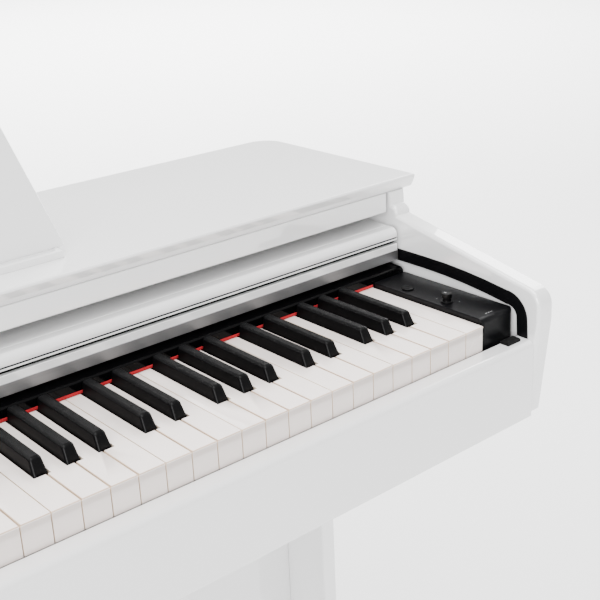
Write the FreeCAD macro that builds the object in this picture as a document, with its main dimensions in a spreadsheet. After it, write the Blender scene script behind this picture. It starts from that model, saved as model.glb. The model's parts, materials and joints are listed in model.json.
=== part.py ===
import FreeCAD, Part
import os
import re
import Sketcher

# Digital piano on its stand: 88 keys, a sliding key cover, a folding music rest
# and three pedals. Millimetres, +Z up, the player sits on the -Y side.
# The frame's origin is on the floor under the middle of the whole instrument.
# Most sizes are measured from the keyboard datum: x = 0 is the middle of the
# keyboard, y = 0 the front of the white keys and z = 0 their top.

doc = FreeCAD.newDocument("DigitalPiano")
sheet = doc.addObject("Spreadsheet::Sheet", "Sizes")

SIZES = {
    # overall
    "overall_depth": 436, "key_height": 735, "arm_reach": 26, "case_drop": 103,
    # white and black keys
    "pitch": 23.5, "white_count": 52, "key_gap": 1, "key_tall": 25, "key_round": 0.8,
    "key_long": 232, "pivot_back": 220, "sharp_wide": 12.1, "sharp_tall": 12, "sharp_front": 50.4,
    "sharp_slope": 9.5, "sharp_back": 145, "sharp_gap": 1, "notch_gap": 1.6, "sharp_round": 2, "tail_drop": 1,
    # places of the sharps in an octave, in white keys from its left edge
    "c_sharp": 0.902, "d_sharp": 2.098, "f_sharp": 3.855, "g_sharp": 5, "a_sharp": 6.145,
    # end blocks with the knob and the power button
    "block_wide": 45.5, "block_side_gap": 1, "block_arm_gap": 2.5, "block_top": 5, "block_front": 3,
    "block_round": 5, "button_radius": 6, "button_back": 109, "button_inset": 12,
    "button_rise": 1.4, "button_tall": 7, "button_gap": 0.4, "button_travel": 1.6, "button_edge": 1,
    "knob_shaft": 3, "knob_shaft_long": 6, "knob_radius": 7, "knob_tall": 10,
    "knob_back": 57, "knob_inset": 12.5, "knob_skirt": 8.2, "knob_skirt_tall": 2.5, "seat_gap": 0.3,
    # arms, the sloping side boards
    "arm_thick": 21, "arm_round": 4, "arm_nose_top": 23.85, "arm_nose_round": 19, "arm_chin": -6,
    "arm_toe": -15, "arm_slope_back": 160, "arm_slope_top": 61.5, "arm_throat": 168,
    "arm_throat_round": 10, "arm_throat_set": 1,
    # lid, fascia, slip, bed and back
    "lid_front": 166, "lid_top": 99.3, "lid_thick": 14.3, "lid_overhang": 12, "lid_corner": 28,
    "lid_edge": 2.5, "lid_bevel": 6, "fascia_front": 170, "fascia_thick": 18, "fascia_low": 64.5,
    "fascia_end_gap": 4.5, "fascia_round": 2, "slip_front": -21, "slip_back": -1, "slip_top": -24,
    "slip_round": 6, "bed_thick": 18, "back_inset": 12, "back_thick": 12, "joint_gap": 0.3,
    # sliding key cover, drawn open
    "cover_front": 157, "cover_low": 16.2, "cover_top": 50, "cover_deep": 15, "cover_round": 7,
    "cover_end_gap": 3, "cover_rise": 10.5, "cover_back": 352, "cover_thick": 9, "cover_groove_low": 39,
    "cover_groove_high": 40.6, "cover_groove_deep": 2, "grip_low": 33.6, "grip_high": 37.4, "grip_deep": 6,
    "trim_proud": 0.8, "trim_tall": 10.5, "glide_long": 30, "glide_wide": 12, "glide_drop": 14,
    "glide_pin": 4, "glide_pin_reach": 1.2, "rail_thick": 8, "rail_front": 176, "rail_wide": 16,
    # curved guide bands on the insides of the arms
    "guide_thick": 1.2, "guide_back": 300, "guide_top": 27, "guide_wide": 12.6, "guide_straight": 120,
    "guide_bend": 14, "guide_fall": 8.2, "guide_front": -13.4, "guide_chin": -4, "guide_arc": 689,
    "guide_nose_arc": 26, "guide_inner_arc": 11,
    # nameboard and felts
    "name_front": 147, "name_back": 205, "name_low": 3, "name_face_top": 10.5, "name_top": 13.5,
    "name_end_gap": 4.5, "name_round": 1.2, "name_corner": 4, "felt_deep": 12, "felt_front": 146.3,
    "felt_gap": 0.4,
    # music rest and its ledge
    "rest_half_wide": 312, "rest_angle": 65, "rest_axis_back": 230, "rest_axis_rise": 3.2,
    "rest_offset": 3.4, "rest_thick": 11, "rest_foot": 4, "rest_tall": 176,
    "rest_top_half": 277, "rest_corner": 18, "rest_edge": 2, "ledge_half_wide": 303.5,
    "ledge_end": 3.5, "ledge_end_back": 214.5, "ledge_front": 203, "ledge_deep": 6,
    "ledge_tall": 6.2, "ledge_back": 218, "ledge_floor": 1.7, "ledge_round": 1.5,
    "strut_long": 85, "strut_half_wide": 35, "strut_thick": 3, "strut_tip": 2.8, "strut_pin": 1.5,
    "strut_pin_reach": 12, "knuckle_radius": 3, "knuckle_wide": 10, "knuckle_bore": 1.7,
    "bracket_at": 200, "bracket_wide": 20, "bracket_deep": 5,
    # key frame, stop felt, pivot rod and sensor board
    "frame_front": 6, "frame_back": 245, "frame_thick": 4, "stop_back": 20, "stop_top": -40,
    "stop_felt_thick": 3, "rod_radius": 2, "rod_drop": 0.3, "rear_rail_front": 208,
    "rear_rail_back": 236, "sensor_front": 90, "sensor_deep": 40, "sensor_top": -60,
    "sensor_thick": 1.6, "sensor_post_inset": 24, "post_radius": 3,
    # electronics
    "board_wide": 260, "board_deep": 70, "card_post_inset": 6,
    "board_back": 365, "board_rise": 12, "board_thick": 1.6,
    "speaker_at": 430, "speaker_back": 315, "speaker_radius": 55, "speaker_hole": 48,
    "speaker_rim": 3, "speaker_basket": 28, "magnet_radius": 28, "magnet_tall": 16,
    "grille_thick": 2, "grille_slot": 4, "grille_pitch": 9, "jack_wide": 70, "jack_deep": 50,
    "jack_tall": 25, "jack_at": -600, "jack_front": 10, "jack_hole": 3.2, "jack_hole_deep": 15,
    "jack_pitch": 34, "inlet_wide": 22, "inlet_tall": 16, "inlet_deep": 7, "inlet_at": 480,
    "inlet_high": 20, "inlet_hole": 3, "inlet_hole_deep": 6,
    # stand
    "leg_thick": 21, "leg_front": 300, "leg_round": 3, "foot_wide": 41, "foot_tall": 30,
    "foot_front": 20, "foot_back": 405, "foot_out": 10, "foot_nose": 14, "foot_round": 4,
    "pad_tall": 5, "pad_radius": 14, "pad_inset": 30, "stretcher_thick": 15, "stretcher_tall": 260,
    "stretcher_rise": 60, "bracket_leaf": 34, "bracket_thick": 3, "bracket_long": 34,
    "bracket_first": 312, "bracket_second": 346,
    # pedals and their box
    "pedal_rise": 40, "pedal_box_tall": 56, "pedal_box_wide": 320, "pedal_box_front": 290,
    "pedal_wall": 6, "pedal_pitch": 78, "pedal_tip": 212, "pedal_wide": 26, "pedal_neck": 18,
    "pedal_thick": 7, "pedal_swell": 252, "pedal_above": 30, "pedal_pivot": 352, "pedal_end": 362,
    "pedal_slot_gap": 2, "pedal_dip": 14, "pedal_tip_arc": 15, "pedal_rod": 3, "pedal_bore": 3.25,
    "pedal_edge": 2,
    "adjuster_radius": 20, "adjuster_tall": 14, "adjuster_stud": 5, "adjuster_back": 330,
    # rubber stops for the closed cover
    "bumper_at": 633, "bumper_wide": 18, "bumper_front": -12, "bumper_deep": 10, "bumper_tall": 4,
    "bumper_round": 2.5,
}

for row, (alias, number) in enumerate(SIZES.items(), start=1):
    sheet.set(f"A{row}", alias)
    sheet.set(f"B{row}", str(number))
    sheet.setAlias(f"B{row}", alias)
doc.recompute()

pieces = {}
FUNCTIONS = ("cos", "sin", "sqrt")

# Places that several pieces share, written with the names of the sheet.
DATUM_BACK = "(arm_reach - overall_depth / 2)"
HALF_KEYS = "(pitch * white_count / 2)"
BLOCK_IN = f"({HALF_KEYS} + block_side_gap)"
BLOCK_OUT = f"({BLOCK_IN} + block_wide)"
ARM_IN = f"({BLOCK_OUT} + block_arm_gap)"
ARM_OUT = f"({ARM_IN} + arm_thick)"
INSIDE = f"({ARM_IN} - joint_gap)"
LID_LOW = "(lid_top - lid_thick)"
LID_BACK = "(overall_depth - arm_reach)"
CASE_BACK = f"({LID_BACK} - back_inset)"
BACK_FACE = f"({CASE_BACK} - back_thick)"
BED_TOP = "(bed_thick - case_drop)"
FLOOR = "(0 - key_height)"
FOOT_TOP = f"({FLOOR} + pad_tall + foot_tall)"
COVER_HALF = f"({ARM_IN} - cover_end_gap)"
ROD_Z = "(0 - key_tall - rod_drop - rod_radius)"
FRAME_TOP = f"({BED_TOP} + frame_thick)"
ZERO = "(0 * pitch)"


def bound(text):
    """Point each size name of an expression at its cell in the sheet."""
    return re.sub(r"[a-z][a-z_]+", lambda name: name.group() if name.group() in FUNCTIONS
                  else "Sizes." + name.group(), text)


def value(text):
    """The number that an expression of size names stands for now."""
    return float(sheet.evalExpression(bound(text)))


def piece(name, thing):
    """Name a finished sub-part and put it on the list that is written out."""
    thing.Label = name
    pieces[name] = thing
    return thing


def new_body(name):
    """An empty body whose own origin lies on the keyboard datum."""
    body = doc.addObject("PartDesign::Body", name)
    body.setExpression("Placement.Base.y", bound(DATUM_BACK))
    body.setExpression("Placement.Base.z", bound("key_height"))
    return body


def new_sketch(body, role, start):
    """A sketch on one of the body's own planes, moved along its normal to start."""
    sketch = body.newObject("Sketcher::SketchObject", f"{body.Name}_sketch")
    plane = [feature for feature in body.Origin.OriginFeatures if feature.Role == role][0]
    sketch.AttachmentSupport = [(plane, "")]
    sketch.MapMode = "FlatFace"
    sketch.setExpression("AttachmentOffset.Base.z", bound(start))
    return sketch


def end_at(sketch, side, point):
    """Which end of a sketch line or arc lies on the point."""
    return 1 if (sketch.getPoint(side, 1) - point).Length < (sketch.getPoint(side, 2) - point).Length else 2


def draw_outline(sketch, corners):
    """Close a loop through corners (x, y) or (x, y, radius).

    A third entry makes the side that starts there an arc of that radius, which
    bulges to the right of the way round, or to the left with a leading minus.
    """
    points = [FreeCAD.Vector(value(corner[0]), value(corner[1]), 0) for corner in corners]
    sides = []
    for index, corner in enumerate(corners):
        here = points[index]
        there = points[(index + 1) % len(points)]
        if len(corner) == 2:
            sides.append(sketch.addGeometry(Part.LineSegment(here, there), False))
            continue
        left = corner[2].startswith("-")
        radius = value(corner[2].lstrip("-"))
        half = (there - here).Length / 2
        across = FreeCAD.Vector(there.y - here.y, here.x - there.x, 0).normalize()
        sagitta = radius - (radius ** 2 - half ** 2) ** 0.5
        middle = (here + there) / 2 + across * (-sagitta if left else sagitta)
        sides.append(sketch.addGeometry(Part.Arc(here, middle, there), False))
    for index, corner in enumerate(corners):
        side = sides[index]
        begin = end_at(sketch, side, points[index])
        before = sides[index - 1]
        sketch.addConstraint(Sketcher.Constraint(
            "Coincident", before, end_at(sketch, before, points[index]), side, begin))
        for kind, text in zip(("DistanceX", "DistanceY"), corner):
            limit = sketch.addConstraint(Sketcher.Constraint(kind, -1, 1, side, begin, value(text)))
            sketch.setExpression(f"Constraints[{limit}]", bound(text))
        if len(corner) == 3:
            radius = corner[2].lstrip("-")
            limit = sketch.addConstraint(Sketcher.Constraint("Radius", side, value(radius)))
            sketch.setExpression(f"Constraints[{limit}]", bound(radius))


def draw_circle(sketch, x, y, radius):
    """A full circle with its middle and radius tied to the sheet."""
    centre = FreeCAD.Vector(value(x), value(y), 0)
    ring = sketch.addGeometry(Part.Circle(centre, FreeCAD.Vector(0, 0, 1), value(radius)), False)
    for kind, text in (("DistanceX", x), ("DistanceY", y)):
        limit = sketch.addConstraint(Sketcher.Constraint(kind, -1, 1, ring, 3, value(text)))
        sketch.setExpression(f"Constraints[{limit}]", bound(text))
    limit = sketch.addConstraint(Sketcher.Constraint("Radius", ring, value(radius)))
    sketch.setExpression(f"Constraints[{limit}]", bound(radius))


def feature(body, kind, sketch, length, reverse=False, middle=False):
    """Pad or pocket a sketch by a length of the sheet."""
    result = body.newObject(f"PartDesign::{kind}", f"{body.Name}_{kind.lower()}")
    result.Profile = sketch
    result.Reversed = reverse
    result.SideType = "Symmetric" if middle else "One side"
    result.setExpression("Length", bound(length))
    sketch.Visibility = False
    doc.recompute()
    return result


def board(name, role, corners, start, length):
    """A body padded from one outline, from start over length along the plane's axis."""
    body = new_body(name)
    flips = role == "XZ_Plane"
    sketch = new_sketch(body, role, f"0 - ({start})" if flips else start)
    draw_outline(sketch, corners)
    feature(body, "Pad", sketch, length, reverse=flips)
    return body


def add_board(body, role, corners, start, length):
    """Grow a body by one more padded outline."""
    flips = role == "XZ_Plane"
    sketch = new_sketch(body, role, f"0 - ({start})" if flips else start)
    draw_outline(sketch, corners)
    return feature(body, "Pad", sketch, length, reverse=flips)


def add_rod(body, y, z, radius, start, length):
    """Grow a body by a round rod that runs along x."""
    sketch = new_sketch(body, "YZ_Plane", start)
    draw_circle(sketch, y, z, radius)
    return feature(body, "Pad", sketch, length)


def cut(body, sketch, length, reverse=False, middle=False):
    """Pocket a sketch and make sure that it took material away."""
    before = body.Shape.Volume
    result = feature(body, "Pocket", sketch, length, reverse, middle)
    if body.Shape.Volume >= before - 1e-3:
        raise RuntimeError(f"{body.Label}: a pocket cut nothing")
    return result


def bore_down(body, x, y, radius, top, depth):
    """A round hole that goes down from the height top."""
    sketch = new_sketch(body, "XY_Plane", top)
    draw_circle(sketch, x, y, radius)
    cut(body, sketch, depth)


def bore_along(body, y, z, radius, start, length):
    """A round hole along x, from start over length."""
    sketch = new_sketch(body, "YZ_Plane", start)
    draw_circle(sketch, y, z, radius)
    cut(body, sketch, length, reverse=True)


def soften(body, kind, size, chosen):
    """Fillet or chamfer the edges that the test picks by their middle point and box."""
    tip = body.Tip
    names = []
    for index, edge in enumerate(tip.Shape.Edges, start=1):
        if chosen(edge.CenterOfMass, edge.BoundBox):
            names.append(f"Edge{index}")
    result = body.newObject(f"PartDesign::{kind}", f"{body.Name}_{kind.lower()}")
    result.Base = (tip, names)
    result.setExpression("Radius" if kind == "Fillet" else "Size", bound(size))
    doc.recompute()
    return result


def same(first, second):
    """Whether two lengths agree, as far as drawing goes."""
    return abs(first - second) < 0.02


def rectangle(left, right, low, high):
    """The four corners of an upright rectangle."""
    return [(left, low), (right, low), (right, high), (left, high)]


def box(name, x, y, z):
    """A plain block; x, y and z are (start, length) pairs in keyboard coordinates."""
    result = doc.addObject("Part::Box", name)
    starts = (x[0], f"{y[0]} + {DATUM_BACK}", f"{z[0]} + key_height")
    for side, axis, start, pair in zip(("Length", "Width", "Height"), "xyz", starts, (x, y, z)):
        result.setExpression(side, bound(pair[1]))
        result.setExpression(f"Placement.Base.{axis}", bound(start))
    return result


def cylinder(name, x, y, z, radius, length, along=FreeCAD.Vector(0, 0, 1)):
    """A round bar that starts at (x, y, z) in keyboard coordinates."""
    result = doc.addObject("Part::Cylinder", name)
    result.Placement.Rotation = FreeCAD.Rotation(FreeCAD.Vector(0, 0, 1), along)
    result.setExpression("Radius", bound(radius))
    result.setExpression("Height", bound(length))
    for axis, start in zip("xyz", (x, f"{y} + {DATUM_BACK}", f"{z} + key_height")):
        result.setExpression(f"Placement.Base.{axis}", bound(start))
    return result


def mirrored(name, source):
    """The same piece on the other side of the instrument's middle plane."""
    result = doc.addObject("Part::Mirroring", name)
    result.Source = source
    result.Normal = FreeCAD.Vector(1, 0, 0)
    return result


def group(name, members):
    """Several separate solids that make one sub-part."""
    result = doc.addObject("Part::Compound", name)
    result.Links = members
    return piece(name, result)


def joined(name, members):
    """Several overlapping solids fused into one."""
    result = doc.addObject("Part::MultiFuse", name)
    result.Shapes = members
    return result


def pair(name, source):
    """A right-hand piece and its mirror image as one sub-part of two solids."""
    return group(name, [source, mirrored(f"{name}_left", source)])


# ---------------------------------------------------------------- keyboard
OCTAVE = ("C", "D", "E", "F", "G", "A", "B")
SHARPS = {"C": "c_sharp", "D": "d_sharp", "F": "f_sharp", "G": "g_sharp", "A": "a_sharp"}
TOP_OCTAVE = f"({HALF_KEYS} - {len(OCTAVE) + 1} * pitch)"
OCTAVES_BELOW = 6


def white_key(name, place, sharp_left, sharp_right):
    """A white key of the top octave, narrowed beside each sharp that it has."""
    left = f"{TOP_OCTAVE} + {place} * pitch + key_gap / 2"
    right = f"{TOP_OCTAVE} + ({place} + 1) * pitch - key_gap / 2"
    half_notch = "(sharp_wide / 2 + sharp_gap)"
    head = "sharp_front - notch_gap"
    corners = [(left, ZERO), (right, ZERO)]
    if sharp_right:
        tail = f"{TOP_OCTAVE} + {sharp_right} * pitch - {half_notch}"
        corners += [(right, head), (tail, head), (tail, "key_long")]
    else:
        corners += [(right, "key_long")]
    if sharp_left:
        tail = f"{TOP_OCTAVE} + {sharp_left} * pitch + {half_notch}"
        corners += [(tail, "key_long"), (tail, head), (left, head)]
    else:
        corners += [(left, "key_long")]
    body = board(name, "XY_Plane", corners, "0 - key_tall", "key_tall")
    reach = value("sharp_front")
    soften(body, "Fillet", "key_round", lambda middle, span: same(span.ZMin, 0) and middle.y < reach
           and not same(middle.y, value(head)))
    return body


def black_key(name, place):
    """A black key: sloped front, rounded top and a lower tail under the nameboard."""
    body = board(
        name, "YZ_Plane",
        [("sharp_front", "0 - key_tall"), ("key_long", "0 - key_tall"), ("key_long", "0 - tail_drop"),
         ("sharp_back", "0 - tail_drop"), ("sharp_back", "sharp_tall"),
         ("sharp_front + sharp_slope", "sharp_tall"), ("sharp_front", "tail_drop")],
        f"{TOP_OCTAVE} + {place} * pitch - sharp_wide / 2", "sharp_wide")
    top = value("sharp_tall")
    soften(body, "Fillet", "sharp_round", lambda middle, span: span.ZMax > top - 0.01
           and middle.y < value("sharp_back") - 1)
    return body


def shifted(source, octaves):
    """A copy of a key's shape, whole octaves to the left."""
    shape = source.Shape.copy()
    shape.translate(FreeCAD.Vector(-octaves * len(OCTAVE) * value("pitch"), 0, 0))
    return shape


white_masters = {}
black_masters = {}
for place, letter in enumerate(OCTAVE):
    left_sharp = SHARPS.get(OCTAVE[place - 1]) if place else None
    white_masters[letter] = piece(
        f"key_{letter.lower()}_top", white_key(f"Key{letter}", place, left_sharp, SHARPS.get(letter)))
piece("key_c_last", white_key("KeyLastC", len(OCTAVE), None, None))
for letter, sharp in SHARPS.items():
    black_masters[letter] = piece(f"key_{letter.lower()}_sharp_top", black_key(f"Sharp{letter}", sharp))
lowest_a = white_key("KeyLowestA", OCTAVE.index("A"), None, "a_sharp")
doc.recompute()

white_shapes = [shifted(lowest_a, OCTAVES_BELOW + 1), shifted(white_masters["B"], OCTAVES_BELOW + 1)]
black_shapes = [shifted(black_masters["A"], OCTAVES_BELOW + 1)]
for octaves in range(1, OCTAVES_BELOW + 1):
    white_shapes += [shifted(white_masters[letter], octaves) for letter in OCTAVE]
    black_shapes += [shifted(black_masters[letter], octaves) for letter in SHARPS]
for name, shapes in (("white_keys", white_shapes), ("black_keys", black_shapes)):
    bank = doc.addObject("Part::Feature", name)
    bank.Shape = Part.makeCompound(shapes)
    piece(name, bank)

piece("key_frame", board(
    "KeyFrame", "YZ_Plane",
    [("frame_front", BED_TOP), ("frame_back", BED_TOP), ("frame_back", FRAME_TOP),
     ("rear_rail_back", FRAME_TOP), ("rear_rail_back", f"{ROD_Z} - rod_radius"),
     ("rear_rail_front", f"{ROD_Z} - rod_radius"), ("rear_rail_front", FRAME_TOP),
     ("stop_back", FRAME_TOP), ("stop_back", "stop_top"), ("frame_front", "stop_top")],
    f"0 - {HALF_KEYS}", f"2 * {HALF_KEYS}"))
piece("key_pivot_rod", cylinder("PivotRod", f"0 - {HALF_KEYS}", "pivot_back", ROD_Z, "rod_radius",
                                f"2 * {HALF_KEYS}", FreeCAD.Vector(1, 0, 0)))
SENSOR_POSTS = 5
sensor_parts = [box("SensorCard", (f"0 - {HALF_KEYS}", f"2 * {HALF_KEYS}"), ("sensor_front", "sensor_deep"),
                    ("sensor_top", "sensor_thick"))]
for number in range(SENSOR_POSTS):
    across = f"(2 * {number} / {SENSOR_POSTS - 1} - 1) * ({HALF_KEYS} - sensor_post_inset)"
    sensor_parts.append(cylinder(
        f"SensorPost{number}", across, "sensor_front + sensor_deep / 2",
        FRAME_TOP, "post_radius", f"sensor_top - {FRAME_TOP} + sensor_thick / 2"))
piece("sensor_board", joined("SensorBoard", sensor_parts))

# ---------------------------------------------------------------- case
right_arm = board(
    "RightArm", "YZ_Plane",
    [("arm_toe", "0 - case_drop"), (CASE_BACK, "0 - case_drop"), (CASE_BACK, LID_LOW),
     ("arm_throat + arm_throat_set", LID_LOW),
     ("arm_throat", "arm_slope_top + arm_throat_round", "arm_throat_round"),
     ("arm_slope_back", "arm_slope_top"), ("0 - arm_reach", "arm_nose_top"), ("0 - arm_reach", "arm_chin")],
    ARM_IN, "arm_thick")
soften(right_arm, "Fillet", "arm_nose_round",
       lambda middle, span: same(middle.y, -value("arm_reach")) and same(middle.z, value("arm_nose_top")))
soften(right_arm, "Fillet", "arm_round",
       lambda middle, span: span.XLength < 0.1 and middle.y < value("arm_throat + 0.5")
       and middle.z > 1 - value("case_drop"))
piece("right_arm", right_arm)
piece("left_arm", mirrored("LeftArm", right_arm))

lid_half = f"({ARM_OUT} + lid_overhang)"
lid = board("Lid", "XY_Plane", rectangle(f"0 - {lid_half}", lid_half, "lid_front", LID_BACK), LID_LOW,
            "lid_thick")
soften(lid, "Fillet", "lid_corner",
       lambda middle, span: span.ZLength > 1 and same(middle.y, value(LID_BACK)))
soften(lid, "Fillet", "lid_edge", lambda middle, span: same(span.ZMin, value("lid_top")))
soften(lid, "Chamfer", "lid_bevel",
       lambda middle, span: same(span.ZMax, value(LID_LOW)) and same(middle.y, value("lid_front")))
piece("top_lid", lid)

fascia_half = f"({ARM_IN} - fascia_end_gap)"
fascia = board("Fascia", "XZ_Plane", rectangle(f"0 - {fascia_half}", fascia_half, "fascia_low", LID_LOW),
               "fascia_front", "fascia_thick")
soften(fascia, "Fillet", "fascia_round", lambda middle, span: same(span.ZMax, value("fascia_low"))
       or (span.ZLength > 1 and same(middle.y, value("fascia_front"))))
piece("front_fascia", fascia)

slip = board("Slip", "YZ_Plane", rectangle("slip_front", "slip_back", "0 - case_drop", "slip_top"),
             f"0 - {INSIDE}", f"2 * {INSIDE}")
soften(slip, "Fillet", "slip_round", lambda middle, span: span.XLength > 1
       and same(middle.y, value("slip_front")) and same(middle.z, value("slip_top")))
soften(slip, "Fillet", "name_round", lambda middle, span: span.XLength > 1
       and same(middle.y, value("slip_back")) and same(middle.z, value("slip_top")))
piece("key_slip", slip)

bed = board("Bed", "XY_Plane", rectangle(f"0 - {INSIDE}", INSIDE, "slip_back", BACK_FACE),
            "0 - case_drop", "bed_thick")
for side in ("speaker_at", "0 - speaker_at"):
    bore_down(bed, side, "speaker_back", "speaker_hole", BED_TOP, "bed_thick")
piece("key_bed", bed)

piece("rear_panel", box("RearPanel", (f"0 - {INSIDE}", f"2 * {INSIDE}"), (BACK_FACE, "back_thick"),
                        ("0 - case_drop", f"{LID_LOW} + case_drop")))

# ---------------------------------------------------------------- end blocks
def end_block(name, start):
    """The black moulding that fills the space between the keys and an arm."""
    body = board(name, "XZ_Plane", rectangle(start, f"{start} + block_wide", BED_TOP, "block_top"),
                 "block_front", "name_front - seat_gap - block_front")
    soften(body, "Fillet", "block_round", lambda middle, span: same(middle.y, value("block_front"))
           and middle.z > value(BED_TOP) + 1)
    soften(body, "Fillet", "name_round", lambda middle, span: same(span.ZMin, value("block_top"))
           and span.YLength > value("block_round") * 2)
    return body


KNOB_X = f"({HALF_KEYS} + knob_inset)"
BUTTON_X = f"({HALF_KEYS} + button_inset)"
piece("left_block", end_block("LeftBlock", f"0 - {BLOCK_OUT}"))
right_block = end_block("RightBlock", BLOCK_IN)
bore_down(right_block, BUTTON_X, "button_back", "button_radius + button_gap", "block_top", "button_tall")
bore_down(right_block, KNOB_X, "knob_back", "knob_shaft + button_gap", "block_top", "button_tall")
piece("right_block", right_block)

button = new_body("Button")
disc = new_sketch(button, "XY_Plane", "block_top + button_rise - button_tall + button_travel")
draw_circle(disc, BUTTON_X, "button_back", "button_radius")
feature(button, "Pad", disc, "button_tall - button_travel")
soften(button, "Fillet", "button_edge",
       lambda middle, span: same(span.ZMin, value("block_top + button_rise")))
piece("power_button", button)

knob_base = "(block_top + seat_gap)"
knob = new_body("Knob")
for radius, start, length in (("knob_skirt", knob_base, "knob_skirt_tall"),
                              ("knob_radius", knob_base, "knob_tall"),
                              ("knob_shaft", f"{knob_base} - knob_shaft_long", "knob_shaft_long")):
    layer = new_sketch(knob, "XY_Plane", start)
    draw_circle(layer, KNOB_X, "knob_back", radius)
    feature(knob, "Pad", layer, length)
soften(knob, "Fillet", "name_round", lambda middle, span: same(span.ZMin, value(f"{knob_base} + knob_tall"))
       and span.XLength > 1)
piece("volume_knob", knob)

bumper = board("Bumper", "YZ_Plane", rectangle("bumper_front", "bumper_front + bumper_deep", "slip_top",
                                               "slip_top + bumper_tall"), "bumper_at", "bumper_wide")
soften(bumper, "Fillet", "bumper_round",
       lambda middle, span: same(span.ZMin, value("slip_top + bumper_tall")))
pair("cover_bumpers", bumper)

# ---------------------------------------------------------------- nameboard and felts
name_half = f"({ARM_IN} - name_end_gap)"
nameboard = board("Nameboard", "YZ_Plane",
                  [("name_front", "name_low"), ("name_back", "name_low"), ("name_back", "name_top"),
                   ("name_front + name_round", "name_face_top + name_round"),
                   ("name_front", "name_face_top")],
                  f"0 - {name_half}", f"2 * {name_half}")
soften(nameboard, "Fillet", "name_corner", lambda middle, span: span.XLength < 0.1
       and middle.z > value("name_face_top") and span.YLength > 1)
piece("nameboard", nameboard)
felt_strip = box("FeltStrip", (f"0 - {HALF_KEYS}", f"2 * {HALF_KEYS}"), ("felt_front", "felt_deep"),
                 ("felt_gap", "name_low - felt_gap"))
stop_felt = box("StopFelt", (f"0 - {HALF_KEYS}", f"2 * {HALF_KEYS}"),
                ("frame_front", "stop_back - frame_front"), ("stop_top", "stop_felt_thick"))
group("key_felts", [felt_strip, stop_felt])

# ---------------------------------------------------------------- sliding key cover
cover_panel = board("CoverPanel", "YZ_Plane",
                    [("cover_front + cover_deep", "cover_top - cover_thick"),
                     ("cover_back", "cover_top + cover_rise - cover_thick"),
                     ("cover_back", "cover_top + cover_rise"), ("cover_front + cover_deep", "cover_top")],
                    f"0 - {COVER_HALF}", f"2 * {COVER_HALF}")
piece("cover_panel", cover_panel)

cover_nose = board("CoverNose", "YZ_Plane",
                   [("cover_front", "cover_low"), ("cover_front + cover_deep", "cover_low"),
                    ("cover_front + cover_deep", "cover_top"), ("cover_front", "cover_top"),
                    ("cover_front", "cover_groove_high"),
                    ("cover_front + cover_groove_deep", "cover_groove_high"),
                    ("cover_front + cover_groove_deep", "cover_groove_low"),
                    ("cover_front", "cover_groove_low"), ("cover_front", "grip_high"),
                    ("cover_front + grip_deep", "grip_high"), ("cover_front + grip_deep", "grip_low"),
                    ("cover_front", "grip_low")],
                   f"0 - {COVER_HALF}", f"2 * {COVER_HALF}")
soften(cover_nose, "Fillet", "cover_round", lambda middle, span: span.XLength > 1
       and same(middle.y, value("cover_front")) and same(middle.z, value("cover_top")))
piece("cover_nose", cover_nose)
piece("cover_trim", box("CoverTrim", (f"0 - {COVER_HALF}", f"2 * {COVER_HALF}"),
                        ("cover_front - trim_proud", "trim_proud"), ("cover_low", "trim_tall")))

rail_top = "(cover_top + cover_rise - cover_thick - glide_drop)"
glide = board("Glide", "YZ_Plane",
              [("cover_back - glide_long", rail_top), ("cover_back", rail_top),
               ("cover_back", "cover_top + cover_rise - cover_thick"),
               ("cover_back - glide_long", "cover_top + cover_rise - cover_thick - glide_long * "
                "(cover_rise / (cover_back - cover_front - cover_deep))")],
              f"{COVER_HALF} - glide_wide", "glide_wide")
pin = cylinder("GlidePin", COVER_HALF, "cover_front + cover_deep / 2", "cover_low + glide_pin",
               "glide_pin / 2", "glide_pin_reach", FreeCAD.Vector(1, 0, 0))
group("cover_glides", [glide, mirrored("GlideLeft", glide), pin, mirrored("GlidePinLeft", pin)])

rail = box("Rail", (f"{ARM_IN} - rail_wide", "rail_wide"), ("rail_front", f"{BACK_FACE} - rail_front"),
           (f"{rail_top} - seat_gap - rail_thick", "rail_thick"))
pair("cover_rails", rail)

guide_shoulder = "guide_top - guide_fall"
guide = board("Guide", "YZ_Plane",
              [("guide_back", "guide_top"), ("guide_straight", "guide_top", "guide_arc"),
               ("guide_bend", guide_shoulder, "guide_nose_arc"), ("guide_front + name_round", "guide_chin"),
               ("guide_front", "slip_top + seat_gap"), ("guide_front + guide_wide", "slip_top + seat_gap"),
               ("guide_front + guide_wide + name_round", "guide_chin", "-guide_inner_arc"),
               ("guide_bend - name_round", f"{guide_shoulder} - guide_wide - name_round", "-guide_arc"),
               ("guide_straight", "guide_top - guide_wide"), ("guide_back", "guide_top - guide_wide")],
              f"{ARM_IN} - guide_thick", "guide_thick")
pair("cover_guides", guide)

# ---------------------------------------------------------------- music rest
ledge = board("Ledge", "YZ_Plane",
              [("ledge_front", "lid_top"), ("ledge_back", "lid_top"), ("ledge_back", "lid_top + ledge_floor"),
               ("ledge_front + ledge_deep", "lid_top + ledge_floor"),
               ("ledge_front + ledge_deep", "lid_top + ledge_tall"), ("ledge_front", "lid_top + ledge_tall")],
              "0 - ledge_half_wide", "2 * ledge_half_wide")
for start in ("0 - ledge_half_wide", "ledge_half_wide - ledge_end"):
    add_board(ledge, "YZ_Plane", rectangle("ledge_front + ledge_deep", "ledge_end_back", "lid_top",
                                           "lid_top + ledge_tall"), start, "ledge_end")
soften(ledge, "Fillet", "ledge_round", lambda middle, span: same(span.ZMin, value("lid_top + ledge_tall")))
piece("rest_ledge", ledge)

AXIS_RISE = "(lid_top + rest_axis_rise)"


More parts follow.
